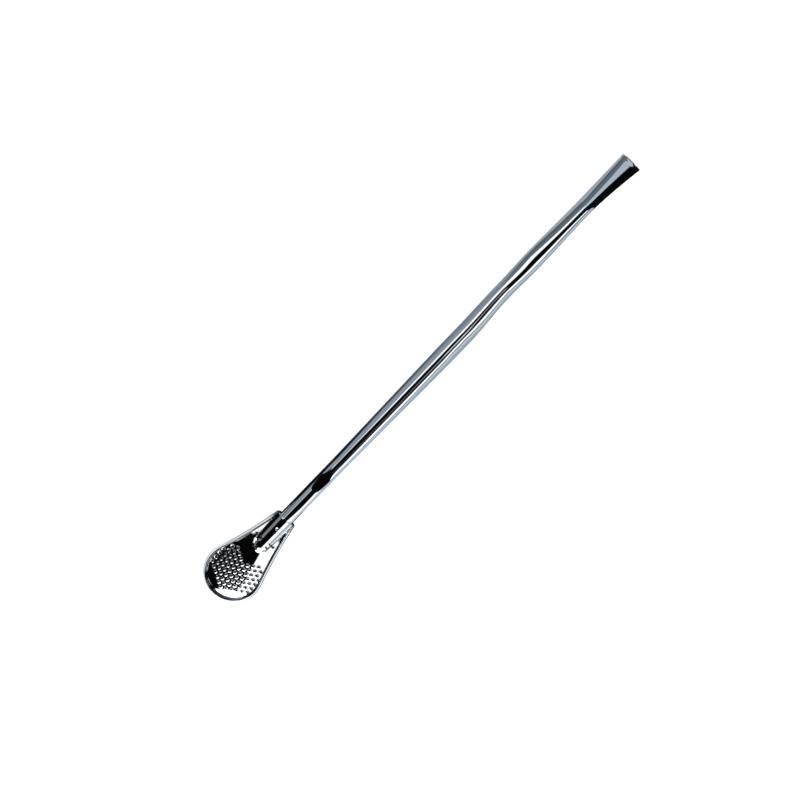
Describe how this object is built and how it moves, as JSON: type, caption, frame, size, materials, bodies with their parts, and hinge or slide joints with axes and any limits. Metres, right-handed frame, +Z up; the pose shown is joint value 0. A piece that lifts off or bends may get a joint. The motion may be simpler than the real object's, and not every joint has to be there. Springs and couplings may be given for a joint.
{
  "type": "mate drinking straw",
  "caption": "Polished steel mate straw with a flared, gently curved mouthpiece, a tapered stem and a pull-off spoon-shaped strainer head with a perforated domed face.",
  "frame": {"origin": "middle of the object's box on the surface that it lies on, below the straw's axis", "axes": "+X along the straw from the strainer head to the lip, +Z up out of the perforated face, +Y to the left seen from the head"},
  "size_m": [0.24, 0.025, 0.0098],
  "materials": {
    "polished_tube": "mirror-polished stainless steel",
    "polished_strainer": "mirror-polished pressed stainless sheet, perforated",
    "polished_bowl": "mirror-polished pressed stainless sheet",
    "turned_bush": "fine-turned stainless steel"
  },
  "bodies": {
    "straw": {"straw_tube": "polished_tube"},
    "strainer_head": {"front_strainer": "polished_strainer", "back_bowl": "polished_bowl", "neck_bush": "turned_bush"}
  },
  "joints": [
    {"name": "head_pull_off", "type": "slide", "parent": "straw", "child": "strainer_head", "axis": [-1, 0, 0], "range_m": [0, 0.04]}
  ]
}
